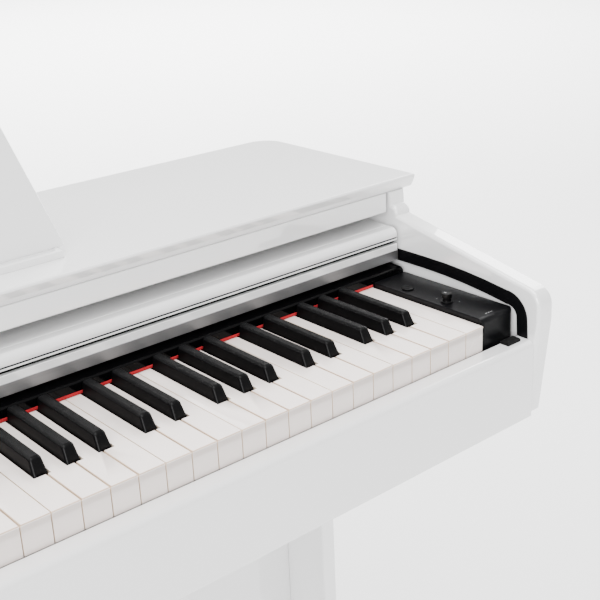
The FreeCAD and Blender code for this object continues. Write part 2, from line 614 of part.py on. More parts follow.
def tilted_body(name, back, rise, angle):
    """A body whose x axis is a hinge axis across the lid, turned by an angle about it."""
    body = doc.addObject("PartDesign::Body", name)
    body.Placement.Rotation = FreeCAD.Rotation(FreeCAD.Vector(1, 0, 0), 1)
    body.setExpression("Placement.Rotation.Angle", f"({bound(angle)}) * 1 deg")
    body.setExpression("Placement.Base.y", bound(f"{back} + {DATUM_BACK}"))
    body.setExpression("Placement.Base.z", bound(f"{rise} + key_height"))
    return body


# The panel's own y axis runs up its back, a little behind the back face.
rest = tilted_body("MusicRest", "rest_axis_back", AXIS_RISE, "rest_angle")
add_board(rest, "XY_Plane",
          [("0 - rest_half_wide", "0 - rest_foot"), ("rest_half_wide", "0 - rest_foot"),
           ("rest_top_half", "rest_tall"), ("0 - rest_top_half", "rest_tall")],
          "rest_offset", "rest_thick")
soften(rest, "Fillet", "rest_corner", lambda middle, span: span.ZLength > 1
       and same(middle.y, value("rest_tall")))
soften(rest, "Fillet", "rest_edge",
       lambda middle, span: span.ZLength < 0.1 and middle.z > value("rest_offset"))
BRACKET_SIDE = "(bracket_wide / 2 + seat_gap)"
for at in (f"bracket_at + {BRACKET_SIDE}", f"bracket_at - {BRACKET_SIDE} - knuckle_wide",
           f"0 - bracket_at + {BRACKET_SIDE}", f"0 - bracket_at - {BRACKET_SIDE} - knuckle_wide"):
    add_rod(rest, ZERO, ZERO, "knuckle_radius", at, "knuckle_wide")
    add_board(rest, "YZ_Plane", rectangle("0 - knuckle_radius", "knuckle_radius", ZERO, "rest_offset"),
              at, "knuckle_wide")
    bore_along(rest, ZERO, ZERO, "knuckle_bore", at, "knuckle_wide")
for at in ("strut_half_wide + seat_gap", "0 - strut_half_wide - seat_gap - knuckle_wide"):
    add_rod(rest, "strut_long", ZERO, "knuckle_radius", at, "knuckle_wide")
    add_board(rest, "YZ_Plane", rectangle("strut_long - knuckle_radius", "strut_long + knuckle_radius",
                                          ZERO, "rest_offset"), at, "knuckle_wide")
    bore_along(rest, "strut_long", ZERO, "knuckle_bore", at, "knuckle_wide")
piece("music_rest", rest)

# The strut is as long as the way from the rest's hinge to its own, so its foot
# stays level with the hinge while the rest folds back.
strut = tilted_body("Strut", "rest_axis_back + strut_long * cos(rest_angle)",
                    f"{AXIS_RISE} + strut_long * sin(rest_angle)", "0 - rest_angle")
add_board(strut, "YZ_Plane", rectangle(ZERO, "strut_long", "0 - strut_thick / 2", "strut_thick / 2"),
          "0 - strut_half_wide", "2 * strut_half_wide")
add_rod(strut, ZERO, ZERO, "strut_pin", "0 - strut_half_wide - strut_pin_reach",
        "2 * (strut_half_wide + strut_pin_reach)")
add_rod(strut, "strut_long", ZERO, "strut_tip", "0 - strut_half_wide", "2 * strut_half_wide")
piece("rest_strut", strut)

brackets = []
for name, at in (("BracketRight", "bracket_at"), ("BracketLeft", "0 - bracket_at")):
    bracket = new_body(name)
    add_board(bracket, "YZ_Plane",
              rectangle("rest_axis_back - bracket_deep / 2", "rest_axis_back + bracket_deep / 2", "lid_top",
                        f"{AXIS_RISE} + knuckle_bore"), f"{at} - bracket_wide / 2", "bracket_wide")
    add_rod(bracket, "rest_axis_back", AXIS_RISE, "strut_pin", f"{at} - bracket_wide / 2 - strut_pin_reach",
            "bracket_wide + 2 * strut_pin_reach")
    brackets.append(bracket)
group("rest_brackets", brackets)

# ---------------------------------------------------------------- electronics
card_parts = [box("MainCard", ("0 - board_wide / 2", "board_wide"), ("board_back - board_deep", "board_deep"),
                  (f"{BED_TOP} + board_rise", "board_thick"))]
for across in (-1, 1):
    for number, back in enumerate(("board_back - card_post_inset",
                                   "board_back - board_deep + card_post_inset")):
        card_parts.append(cylinder(f"CardPost{number}{across > 0:d}",
                                   f"{across} * (board_wide / 2 - card_post_inset)", back,
                                   BED_TOP, "post_radius", "board_rise + board_thick / 2"))
piece("main_board", joined("MainBoard", card_parts))

speaker_parts = [
    cylinder("SpeakerRim", "speaker_at", "speaker_back", BED_TOP, "speaker_radius", "speaker_rim"),
    cylinder("SpeakerMagnet", "speaker_at", "speaker_back", f"{BED_TOP} + speaker_rim + speaker_basket",
             "magnet_radius", "magnet_tall")]
basket = doc.addObject("Part::Cone", "SpeakerBasket")
basket.setExpression("Radius1", bound("speaker_hole"))
basket.setExpression("Radius2", bound("magnet_radius"))
basket.setExpression("Height", bound("speaker_basket"))
basket.setExpression("Placement.Base.x", bound("speaker_at"))
basket.setExpression("Placement.Base.y", bound(f"speaker_back + {DATUM_BACK}"))
basket.setExpression("Placement.Base.z", bound(f"{BED_TOP} + speaker_rim + key_height"))
pair("speakers", joined("Speaker", speaker_parts + [basket]))

SLOTS_EACH_SIDE = 4
grille = new_body("Grille")
disc = new_sketch(grille, "XY_Plane", "0 - case_drop - grille_thick")
draw_circle(disc, "speaker_at", "speaker_back", "speaker_radius")
feature(grille, "Pad", disc, "grille_thick")
for step in range(-SLOTS_EACH_SIDE, SLOTS_EACH_SIDE + 1):
    reach = f"sqrt(speaker_hole ^ 2 - ({step} * grille_pitch) ^ 2)"
    slot = new_sketch(grille, "XY_Plane", "0 - case_drop")
    draw_outline(slot, rectangle(f"speaker_at + {step} * grille_pitch - grille_slot / 2",
                                 f"speaker_at + {step} * grille_pitch + grille_slot / 2",
                                 f"speaker_back - {reach}", f"speaker_back + {reach}"))
    cut(grille, slot, "grille_thick")
pair("speaker_grilles", grille)

jack_box = board("JackBox", "XZ_Plane",
                 rectangle("jack_at", "jack_at + jack_wide", "0 - case_drop - jack_tall", "0 - case_drop"),
                 "jack_front", "jack_deep")
JACK_Z = "(0 - case_drop - jack_tall / 2)"
for at in ("jack_at + (jack_wide - jack_pitch) / 2", "jack_at + (jack_wide + jack_pitch) / 2"):
    hole = new_sketch(jack_box, "XZ_Plane", "0 - jack_front")
    draw_circle(hole, at, JACK_Z, "jack_hole")
    cut(jack_box, hole, "jack_hole_deep")
piece("headphone_box", jack_box)

inlet = board("Inlet", "XZ_Plane", rectangle("inlet_at", "inlet_at + inlet_wide", "inlet_high",
                                             "inlet_high + inlet_tall"), CASE_BACK, "inlet_deep")
hole = new_sketch(inlet, "XZ_Plane", f"0 - ({CASE_BACK} + inlet_deep)")
draw_circle(hole, "inlet_at + inlet_wide / 2", "inlet_high + inlet_tall / 2", "inlet_hole")
cut(inlet, hole, "inlet_hole_deep", reverse=True)
piece("power_inlet", inlet)

# ---------------------------------------------------------------- stand
leg = board("Leg", "XY_Plane", rectangle(ARM_IN, f"{ARM_IN} + leg_thick", "leg_front", CASE_BACK), FOOT_TOP,
            f"0 - case_drop - {FOOT_TOP}")
soften(leg, "Fillet", "leg_round", lambda middle, span: span.ZLength > 1
       and same(middle.y, value("leg_front")))
piece("right_leg", leg)
piece("left_leg", mirrored("LeftLeg", leg))

foot = board("Foot", "YZ_Plane",
             rectangle("foot_front", "foot_back", f"{FLOOR} + pad_tall", FOOT_TOP),
             f"{ARM_OUT} + foot_out - foot_wide", "foot_wide")
soften(foot, "Fillet", "foot_nose", lambda middle, span: span.XLength > 1 and same(middle.z, value(FOOT_TOP))
       and same(middle.y, value("foot_front")))
soften(foot, "Fillet", "foot_round", lambda middle, span: middle.z > value(f"{FLOOR} + pad_tall") + 1
       and (span.XLength < 0.1 or same(middle.y, value("foot_front"))))
piece("right_foot", foot)
piece("left_foot", mirrored("LeftFoot", foot))

FOOT_X = f"({ARM_OUT} + foot_out - foot_wide / 2)"
pads = [cylinder(f"Pad{number}", FOOT_X, back, FLOOR, "pad_radius", "pad_tall")
        for number, back in enumerate(("foot_front + pad_inset", "foot_back - pad_inset"))]
group("foot_pads", pads + [mirrored(f"{pad.Name}Left", pad) for pad in pads])

stretcher_front = f"({CASE_BACK} - back_inset - stretcher_thick)"
stretcher = board("Stretcher", "XZ_Plane",
                  rectangle(f"0 - {INSIDE}", INSIDE, f"{FLOOR} + stretcher_rise",
                            f"{FLOOR} + stretcher_rise + stretcher_tall"), stretcher_front, "stretcher_thick")
piece("rear_board", stretcher)

angles = []
for number, start in enumerate(("bracket_first", "bracket_second")):
    angles.append(board(
        f"Angle{number}", "XZ_Plane",
        [(f"{ARM_IN} - bracket_leaf", "0 - case_drop - bracket_thick"),
         (f"{ARM_IN} - bracket_thick", "0 - case_drop - bracket_thick"),
         (f"{ARM_IN} - bracket_thick", "0 - case_drop - bracket_leaf"),
         (ARM_IN, "0 - case_drop - bracket_leaf"), (ARM_IN, "0 - case_drop"),
         (f"{ARM_IN} - bracket_leaf", "0 - case_drop")], start, "bracket_long"))
group("corner_brackets", angles + [mirrored(f"{angle.Name}Left", angle) for angle in angles])

# ---------------------------------------------------------------- pedals
BOX_LOW = f"({FLOOR} + pedal_rise)"
BOX_TOP = f"({BOX_LOW} + pedal_box_tall)"
PEDAL_LOW = f"({BOX_LOW} + pedal_above)"
PEDAL_MID = f"({PEDAL_LOW} + pedal_thick / 2)"
pedal_box = board("PedalBox", "YZ_Plane", rectangle("pedal_box_front", stretcher_front, BOX_LOW, BOX_TOP),
                  "0 - pedal_box_wide / 2", "pedal_box_wide")
soften(pedal_box, "Fillet", "foot_round", lambda middle, span: same(middle.y, value("pedal_box_front"))
       and middle.z > value(BOX_LOW) + 1)
hollow = new_sketch(pedal_box, "YZ_Plane", ZERO)
draw_outline(hollow, rectangle("pedal_box_front + pedal_wall", stretcher_front,
                               f"{BOX_LOW} + pedal_wall", f"{BOX_TOP} - pedal_wall"))
cut(pedal_box, hollow, "pedal_box_wide - 2 * pedal_wall", middle=True)
PEDALS = (("left_pedal", "0 - pedal_pitch"), ("middle_pedal", ZERO), ("right_pedal", "pedal_pitch"))
for name, at in PEDALS:
    slot = new_sketch(pedal_box, "XZ_Plane", "0 - pedal_box_front")
    draw_outline(slot, rectangle(f"{at} - pedal_neck / 2 - pedal_slot_gap",
                                 f"{at} + pedal_neck / 2 + pedal_slot_gap",
                                 f"{PEDAL_LOW} - pedal_dip", f"{PEDAL_LOW} + pedal_thick + pedal_slot_gap"))
    cut(pedal_box, slot, "pedal_wall")
piece("pedal_box", pedal_box)

for name, at in PEDALS:
    half = "pedal_wide / 2"
    neck = "pedal_neck / 2"
    pedal = board(name.title().replace("_", ""), "XY_Plane",
                  [(f"{at} - {half}", "pedal_tip + pedal_wide / 3", "pedal_tip_arc"),
                   (f"{at} + {half}", "pedal_tip + pedal_wide / 3"),
                   (f"{at} + {neck}", "pedal_swell"), (f"{at} + {neck}", "pedal_end"),
                   (f"{at} - {neck}", "pedal_end"), (f"{at} - {neck}", "pedal_swell")],
                  PEDAL_LOW, "pedal_thick")
    soften(pedal, "Fillet", "pedal_edge", lambda middle, span: middle.y < value("pedal_swell")
           and same(span.ZMin, value(f"{PEDAL_LOW} + pedal_thick")))
    bore_along(pedal, "pedal_pivot", PEDAL_MID, "pedal_bore", f"{at} - pedal_neck / 2", "pedal_neck")
    piece(name, pedal)
piece("pedal_rod", cylinder("PedalRod", "0 - pedal_box_wide / 2 + pedal_wall", "pedal_pivot", PEDAL_MID,
                            "pedal_rod", "pedal_box_wide - 2 * pedal_wall", FreeCAD.Vector(1, 0, 0)))

adjuster = new_body("Adjuster")
for radius, start, length in (("adjuster_radius", FLOOR, "adjuster_tall"),
                              ("adjuster_stud", FLOOR, "pedal_rise - seat_gap")):
    layer = new_sketch(adjuster, "XY_Plane", start)
    draw_circle(layer, ZERO, "adjuster_back", radius)
    feature(adjuster, "Pad", layer, length)
soften(adjuster, "Fillet", "pedal_edge",
       lambda middle, span: same(span.ZMax, value(f"{FLOOR} + adjuster_tall")))
piece("pedal_adjuster", adjuster)

# ---------------------------------------------------------------- check and write
doc.recompute()
for thing in doc.Objects:
    if "Invalid" in thing.State or "Error" in thing.State:
        raise RuntimeError(f"{thing.Label} failed: {thing.State}")
for name, thing in pieces.items():
    if thing.Shape.isNull() or not thing.Shape.isValid():
        raise RuntimeError(f"{name} has no valid shape")

os.makedirs("parts", exist_ok=True)
for name, thing in pieces.items():
    thing.Shape.exportStep(f"parts/{name}.step")
print(len(pieces), "sub-parts written")
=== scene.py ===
# %% [markdown]
# A white digital piano, finished for the camera
#
# The mechanical model of the piano arrives as a fixed frame: every board, key and
# pedal already has its real size and place. This lesson gives it its looks. Each
# step first says what the piece is on the real instrument, how it could be made in
# Blender, and why one way was chosen.

# %% Load the frame
import bpy
import json
import math
from mathutils import Euler, Matrix, Vector


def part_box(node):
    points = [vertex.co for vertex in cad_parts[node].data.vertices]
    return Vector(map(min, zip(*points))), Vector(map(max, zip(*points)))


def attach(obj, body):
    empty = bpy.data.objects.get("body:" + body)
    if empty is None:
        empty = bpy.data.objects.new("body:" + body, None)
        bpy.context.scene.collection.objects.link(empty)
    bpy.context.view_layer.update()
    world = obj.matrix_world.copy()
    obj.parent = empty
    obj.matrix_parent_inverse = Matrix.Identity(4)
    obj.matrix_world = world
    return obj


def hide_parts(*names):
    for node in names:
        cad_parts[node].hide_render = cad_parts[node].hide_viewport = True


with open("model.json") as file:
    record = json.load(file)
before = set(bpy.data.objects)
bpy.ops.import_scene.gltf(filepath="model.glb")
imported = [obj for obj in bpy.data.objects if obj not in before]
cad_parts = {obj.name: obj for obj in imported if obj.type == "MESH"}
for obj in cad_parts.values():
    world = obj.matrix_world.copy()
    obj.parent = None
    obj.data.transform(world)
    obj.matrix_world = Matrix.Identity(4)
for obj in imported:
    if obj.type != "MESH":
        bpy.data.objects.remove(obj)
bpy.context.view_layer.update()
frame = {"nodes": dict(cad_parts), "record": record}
MM = 0.001
BODIES = frame["record"]["behaviour"]["bodies"]
BODY_OF = {node: body for body, nodes in BODIES.items() for node in nodes}
SLOT_OF = {part["node"]: part["material_slot"] for part in frame["record"]["subparts"]}
print("nodes:", len(BODY_OF), "bodies:", len(BODIES))

# %% [markdown]
# The places of new pieces are read from the boxes of the nodes they belong to, so
# nothing here has to be measured twice. The spacing of the white keys, for one, is
# the distance between the left sides of two neighbours.


# %% Places on the instrument
def low(node):
    """The lowest corner of a node's box."""
    return Vector(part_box(node)[0])


def high(node):
    """The highest corner of a node's box."""
    return Vector(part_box(node)[1])


def middle(node):
    """The centre of a node's box."""
    return (low(node) + high(node)) / 2


PITCH = low("key_d_top").x - low("key_c_top").x
KEY_TOP = high("key_c_top").z
print("white keys are", round(PITCH / MM, 2), "mm apart")

# %% [markdown]
# Blender's operators act on whatever is selected, and the frame leaves all its nodes
# selected. These short helpers clear the selection, pick faces or edges by a rule
# about their place or direction, and leave the piece in edit mode, as a person would
# do by clicking.


# %% Helpers for picking and shaping
Y, Z = 1, 2
FACING = 0.9  # how squarely a face or an edge must lie along an axis to count
CROSSING = 0.1  # how little of it may lie along an axis it crosses
BEVEL_SLIVER = 5e-6


def start_fresh():
    """Object mode, with nothing selected."""
    if bpy.context.object and bpy.context.object.mode != "OBJECT":
        bpy.ops.object.mode_set(mode="OBJECT")
    bpy.ops.object.select_all(action="DESELECT")


def hold(piece):
    """Make one piece the only one selected."""
    start_fresh()
    piece.select_set(True)
    bpy.context.view_layer.objects.active = piece


def pick(kind, test):
    """Select the faces or edges of the held piece that pass the test, in edit mode."""
    piece = bpy.context.object
    bpy.ops.object.mode_set(mode="EDIT")
    bpy.ops.mesh.select_mode(type="FACE" if kind == "faces" else "EDGE")
    bpy.ops.mesh.select_all(action="DESELECT")
    bpy.ops.object.mode_set(mode="OBJECT")
    mesh = piece.data
    if kind == "faces":
        for face in mesh.polygons:
            face.select = test(face.center, face.normal)
    else:
        for edge in mesh.edges:
            first, second = (mesh.vertices[index].co for index in edge.vertices)
            edge.select = test((first + second) / 2, (second - first).normalized())
    bpy.ops.object.mode_set(mode="EDIT")


def cut_across(axis, places):
    """Cut the held piece with planes square to an axis, one at each place along it."""
    square = Vector((0, 0, 0))
    square[axis] = 1
    bpy.ops.object.mode_set(mode="EDIT")
    for place in places:
        bpy.ops.mesh.select_all(action="SELECT")
        bpy.ops.mesh.bisect(plane_co=square * place, plane_no=square)
    bpy.ops.object.mode_set(mode="OBJECT")


def settle(piece, name):
    """Back to object mode, the place baked into the mesh, and the name given."""
    bpy.ops.object.mode_set(mode="OBJECT")
    hold(piece)
    bpy.ops.object.transform_apply(location=True, rotation=True, scale=True)
    piece.name = name


def smooth(piece, degrees=35):
    """Smooth shading that stays crisp at edges steeper than the angle."""
    hold(piece)
    bpy.ops.object.shade_smooth_by_angle(angle=math.radians(degrees))


def flatten(piece):
    """Let large faces decide the shading, so that flat boards look flat to their edges."""
    weights = piece.modifiers.new("weights", "WEIGHTED_NORMAL")
    weights.keep_sharp = True
    bpy.ops.object.modifier_apply(modifier=weights.name)


def round_edges(piece, width, segments=2, degrees=40):
    """A small bevel on every sharp edge, so that it catches the light."""
    smooth(piece, degrees)
    bevel = piece.modifiers.new("edges", "BEVEL")
    bevel.width = width
    bevel.segments = segments
    bevel.limit_method = "ANGLE"
    bevel.angle_limit = math.radians(degrees)
    bpy.ops.object.modifier_apply(modifier=bevel.name)
    bpy.ops.object.mode_set(mode="EDIT")
    bpy.ops.mesh.select_all(action="SELECT")
    bpy.ops.mesh.dissolve_degenerate(threshold=BEVEL_SLIVER)
    bpy.ops.object.mode_set(mode="OBJECT")
    flatten(piece)


def add_block(corner_a, corner_b):
    """A cube primitive that fills the space between two corners."""
    start_fresh()
    centre = (corner_a + corner_b) / 2
    bpy.ops.mesh.primitive_cube_add(size=1, location=centre, scale=corner_b - corner_a)
    bpy.ops.object.transform_apply(location=True, rotation=True, scale=True)
    return bpy.context.object


def add_disc(centre, radius, depth, sides=64):
    """An upright cylinder primitive, centred on a point."""
    start_fresh()
    bpy.ops.mesh.primitive_cylinder_add(vertices=sides, radius=radius, depth=depth, location=centre)
    bpy.ops.object.transform_apply(location=True, rotation=True, scale=True)
    return bpy.context.object


def copy_to(piece, shift, name):
    """A copy with a mesh of its own, moved by a vector."""
    twin = piece.copy()
    twin.data = piece.data.copy()
    twin.data.transform(Matrix.Translation(shift))
    twin.name = name
    bpy.context.collection.objects.link(twin)
    return twin


print("helpers ready, edges count as square above", FACING)

# %% [markdown]
# Finishes come before pieces here, because a piece is only judged in its finish.
# Every finish is a Principled shader fed by textures that are worked out from
# Object coordinates, so nothing slides when a key or the cover moves. Effects that
# several finishes share are shader node groups with named inputs: a lacquer skin,
# a moulded grain, a brushed metal and a felt.


# %% Node group builder
def new_group(name, inputs, outputs):
    """An empty shader group with float or colour sockets and its in and out nodes."""
    tree = bpy.data.node_groups.new(name, "ShaderNodeTree")
    kinds = {"colour": "NodeSocketColor", "value": "NodeSocketFloat"}
    for label, kind in inputs:
        tree.interface.new_socket(name=label, in_out="INPUT", socket_type=kinds[kind])
    for label, kind in outputs:
        tree.interface.new_socket(name=label, in_out="OUTPUT", socket_type=kinds[kind])
    return tree, tree.nodes.new("NodeGroupInput"), tree.nodes.new("NodeGroupOutput")


def noise(tree, scale, detail=3.0, stretch=(1, 1, 1)):
    """A noise texture on Object coordinates; scale may be a number or a socket."""
    place = tree.nodes.new("ShaderNodeTexCoord")
    mapping = tree.nodes.new("ShaderNodeMapping")
    mapping.inputs["Scale"].default_value = stretch
    texture = tree.nodes.new("ShaderNodeTexNoise")
    texture.inputs["Detail"].default_value = detail
    tree.links.new(place.outputs["Object"], mapping.inputs["Vector"])
    tree.links.new(mapping.outputs["Vector"], texture.inputs["Vector"])
    if isinstance(scale, (int, float)):
        texture.inputs["Scale"].default_value = scale
    else:
        tree.links.new(scale, texture.inputs["Scale"])
    return texture.outputs["Fac"]


def calculate(tree, operation, first, second):
    """A math node; each side is a number or a socket."""
    node = tree.nodes.new("ShaderNodeMath")
    node.operation = operation
    for socket, side in zip(node.inputs, (first, second)):
        if isinstance(side, (int, float)):
            socket.default_value = side
        else:
            tree.links.new(side, socket)
    return node.outputs[0]


def centred(tree, texture, amount):
    """A texture value turned into a swing of plus or minus half the amount."""
    return calculate(tree, "MULTIPLY", calculate(tree, "SUBTRACT", texture, 0.5), amount)


def tinted(tree, colour, swing):
    """A colour made a little lighter or darker by a swing about nought."""
    node = tree.nodes.new("ShaderNodeHueSaturation")
    tree.links.new(colour, node.inputs["Color"])
    tree.links.new(calculate(tree, "ADD", swing, 1.0), node.inputs["Value"])
    return node.outputs["Color"]

# %% [markdown]
# Sprayed lacquer is never a perfect mirror: it has a faint ripple called orange
# peel, and wiping leaves patches that are a touch hazier. Both are far too small to
# model, so they are noise: a fine one for the ripple's height, a broad one for haze.


# %% Lacquer skin
def lacquer_skin():
    tree, inside, outside = new_group(
        "lacquer skin",
        [("Colour", "colour"), ("Roughness", "value"), ("Haze", "value"), ("Ripple Scale", "value")],
        [("Colour", "colour"), ("Roughness", "value"), ("Height", "value")])
    broad = noise(tree, 5.0, 4.0)
    fine = noise(tree, inside.outputs["Ripple Scale"], 2.0)
    haze = centred(tree, broad, inside.outputs["Haze"])
    colour = tinted(tree, inside.outputs["Colour"], centred(tree, broad, 0.03))
    tree.links.new(colour, outside.inputs["Colour"])
    tree.links.new(calculate(tree, "ADD", inside.outputs["Roughness"], haze), outside.inputs["Roughness"])
    tree.links.new(fine, outside.inputs["Height"])
    return tree

# %% [markdown]
# Black plastic comes out of a mould whose steel was lightly blasted, so it has a fine
# grain, and hands polish it in patches. The grain drives the height and a little of the
# colour, and a broad noise moves the roughness up and down as wear.

# %% Moulded grain
def moulded_grain():
    tree, inside, outside = new_group(
        "moulded grain",
        [("Colour", "colour"), ("Roughness", "value"), ("Grain Scale", "value"), ("Wear", "value")],
        [("Colour", "colour"), ("Roughness", "value"), ("Height", "value")])
    grain = noise(tree, inside.outputs["Grain Scale"], 2.0)
    patches = noise(tree, 14.0, 5.0)
    worn = centred(tree, patches, inside.outputs["Wear"])
    colour = tinted(tree, inside.outputs["Colour"], centred(tree, grain, 0.25))
    tree.links.new(colour, outside.inputs["Colour"])
    tree.links.new(calculate(tree, "ADD", inside.outputs["Roughness"], worn), outside.inputs["Roughness"])
    tree.links.new(grain, outside.inputs["Height"])
    return tree

# %% [markdown]
# Satin metal is rubbed along its length with abrasive, which leaves long fine lines.
# The noise is stretched along X by scaling that axis down, so its spots become lines.

# %% Brushed metal
def brushed_metal():
    tree, inside, outside = new_group(
        "brushed metal",
        [("Colour", "colour"), ("Roughness", "value")],
        [("Colour", "colour"), ("Roughness", "value"), ("Height", "value")])
    lines = noise(tree, 900.0, 3.0, (0.02, 1, 1))
    colour = tinted(tree, inside.outputs["Colour"], centred(tree, lines, 0.2))
    tree.links.new(colour, outside.inputs["Colour"])
    rough = calculate(tree, "ADD", inside.outputs["Roughness"], centred(tree, lines, 0.15))
    tree.links.new(rough, outside.inputs["Roughness"])
    tree.links.new(lines, outside.inputs["Height"])
    return tree

# %% [markdown]
# Felt is pressed wool: short fibres, no weave, and slightly uneven clumps. A very fine
# noise makes the fibres and a coarser one the clumps.

# %% Pressed felt
def pressed_felt():
    tree, inside, outside = new_group(
        "pressed felt", [("Colour", "colour")],
        [("Colour", "colour"), ("Roughness", "value"), ("Height", "value")])
    fibres = noise(tree, 1400.0, 6.0, (0.35, 1, 1))
    clumps = noise(tree, 160.0, 3.0)
    mixed = calculate(tree, "ADD", centred(tree, fibres, 0.5), centred(tree, clumps, 0.3))
    colour = tinted(tree, inside.outputs["Colour"], mixed)
    tree.links.new(colour, outside.inputs["Colour"])
    tree.links.new(calculate(tree, "ADD", centred(tree, clumps, 0.1), 0.92), outside.inputs["Roughness"])
    tree.links.new(fibres, outside.inputs["Height"])
    return tree


SKINS = {"lacquer": lacquer_skin(), "grain": moulded_grain(),
         "metal": brushed_metal(), "felt": pressed_felt()}
print("surface groups:", ", ".join(SKINS))

# %% [markdown]
# A finish places one of those groups, sets its inputs, and feeds colour, roughness
# and bump to the shader. What is the same all over, such as the metal switch or the
# clear coat, is set on the shader's own sockets.


# %% Finishes
def finish(name, skin, colour, bump, values, sockets):
    """A material: one shared skin, its input values, and constants on the shader."""
    material = bpy.data.materials.new(name)
    material.use_nodes = True
    tree = material.node_tree
    shader = tree.nodes["Principled BSDF"]
    group = tree.nodes.new("ShaderNodeGroup")
    group.node_tree = SKINS[skin]
    group.inputs["Colour"].default_value = (*colour, 1.0)
    for label, number in values.items():
        group.inputs[label].default_value = number
    for label, number in sockets.items():
        shader.inputs[label].default_value = number
    relief = tree.nodes.new("ShaderNodeBump")
    relief.inputs["Strength"].default_value = bump[0]
    relief.inputs["Distance"].default_value = bump[1]
    tree.links.new(group.outputs["Colour"], shader.inputs["Base Color"])
    tree.links.new(group.outputs["Roughness"], shader.inputs["Roughness"])
    tree.links.new(group.outputs["Height"], relief.inputs["Height"])
    tree.links.new(relief.outputs["Normal"], shader.inputs["Normal"])
    return material


COAT = {"Coat Weight": 1.0, "Coat Roughness": 0.01, "Coat IOR": 2.1}
KEY_COAT = {"Coat Weight": 0.8, "Coat Roughness": 0.04, "Coat IOR": 1.75}
DULL = {"Specular IOR Level": 0.1}
MATT = {"Specular IOR Level": 0.03}
FINISHES = {
    "white_lacquer": finish("white gloss lacquer", "lacquer", (0.86, 0.86, 0.86), (0.06, 0.0001),
                            {"Roughness": 0.12, "Haze": 0.08, "Ripple Scale": 160.0}, COAT),
    "key_white": finish("white key plastic", "lacquer", (0.86, 0.775, 0.73), (0.06, 0.00004),
                        {"Roughness": 0.26, "Haze": 0.14, "Ripple Scale": 300.0}, KEY_COAT),
    # painted shade: the darker brown line along the keys' rounded top edges
    "key_edge_painted_shade": finish("painted key edge shade", "lacquer", (0.60, 0.44, 0.33), (0.06, 0.00006),
                       {"Roughness": 0.3, "Haze": 0.1, "Ripple Scale": 300.0}, {}),
    # partly the tone of unpolished plastic, partly painted light in the seams between keys
    "key_side_and_seam_light": finish("unpolished key side and painted seam light", "grain", (0.80, 0.66, 0.52), (0.3, 0.00006),
                       {"Roughness": 0.5, "Grain Scale": 900.0, "Wear": 0.15}, {}),
    "key_black": finish("black key plastic", "grain", (0.0018, 0.0018, 0.002), (0.12, 0.00004),
                        {"Roughness": 0.26, "Grain Scale": 1600.0, "Wear": 0.14}, DULL),
    "key_black_side": finish("black key side", "grain", (0.0018, 0.0018, 0.002), (0.2, 0.00004),
                             {"Roughness": 0.45, "Grain Scale": 1600.0, "Wear": 0.1}, MATT),
    "black_satin": finish("black satin moulding", "grain", (0.0025, 0.0025, 0.003), (0.3, 0.00005),
                          {"Roughness": 0.32, "Grain Scale": 1900.0, "Wear": 0.12}, DULL),
    "black_gloss": finish("black gloss nameboard", "lacquer", (0.0012, 0.0012, 0.0014), (0.06, 0.00008),
                          {"Roughness": 0.1, "Haze": 0.06, "Ripple Scale": 240.0}, DULL),
    "button_black": finish("button plastic", "grain", (0.0025, 0.0025, 0.0027), (0.15, 0.00004),
                           {"Roughness": 0.3, "Grain Scale": 2200.0, "Wear": 0.15}, DULL),
    "red_felt": finish("red felt", "felt", (0.42, 0.003, 0.01), (0.7, 0.0003), {},
                       {"Sheen Weight": 0.06, "Sheen Roughness": 0.5}),
    "grey_felt": finish("grey felt", "felt", (0.55, 0.53, 0.5), (0.7, 0.0003), {},
                        {"Sheen Weight": 0.2, "Sheen Roughness": 0.5}),
    "silver_trim": finish("satin metal trim", "metal", (0.30, 0.30, 0.305), (0.06, 0.00003),
                          {"Roughness": 0.42}, {"Metallic": 0.9}),
    "black_rubber": finish("black rubber", "grain", (0.004, 0.004, 0.004), (0.5, 0.0001),
                           {"Roughness": 0.55, "Grain Scale": 900.0, "Wear": 0.15}, DULL),
    "steel": finish("zinc plated steel", "metal", (0.62, 0.62, 0.6), (0.12, 0.00004),
                    {"Roughness": 0.3}, {"Metallic": 1.0}),
    "pedal_brass": finish("polished brass", "metal", (0.66, 0.42, 0.15), (0.05, 0.00003),
                          {"Roughness": 0.16}, {"Metallic": 1.0}),
    "frame_plastic": finish("dark frame plastic", "grain", (0.05, 0.05, 0.052), (0.4, 0.0001),
                            {"Roughness": 0.55, "Grain Scale": 1100.0, "Wear": 0.1}, {}),
    "circuit_card": finish("green circuit card", "grain", (0.015, 0.14, 0.05), (0.3, 0.0001),
                           {"Roughness": 0.35, "Grain Scale": 420.0, "Wear": 0.2}, {}),
    "speaker_black": finish("speaker black", "grain", (0.025, 0.025, 0.025), (0.5, 0.0002),
                            {"Roughness": 0.6, "Grain Scale": 700.0, "Wear": 0.1}, {}),
    # painted shade: the white lacquer inside the nose's groove and recess, painted near black
    "groove_painted_shade": finish("painted groove shade", "grain", (0.012, 0.012, 0.012), (0.3, 0.00005),
                           {"Roughness": 0.6, "Grain Scale": 1200.0, "Wear": 0.1}, DULL),
    "grey_print": finish("grey print", "grain", (0.42, 0.42, 0.42), (0.1, 0.00002),
                         {"Roughness": 0.5, "Grain Scale": 2500.0, "Wear": 0.1}, {}),
}


def dress(piece, slot):
    """Give a piece the finish that belongs to a slot."""
    piece.data.materials.clear()
    piece.data.materials.append(FINISHES[slot])


print("finishes:", len(FINISHES))

# %% [markdown]
# Most boards are right as they come, but their meshes are loose triangles with
# razor edges. A lacquered board has edges sanded round by half a millimetre, and
# those thin highlights are what makes it look real. So each board is copied, its
# loose triangles are merged into whole faces, slivers are dissolved, its sharp edges
# are bevelled, and the copy stands in for the original. A width of nought leaves a
# part's edges as they are, which suits what is hidden inside.


# %% Boards with softened edges
WELD = 2e-6
SLIVER = 2e-5
COPLANAR = math.radians(0.5)


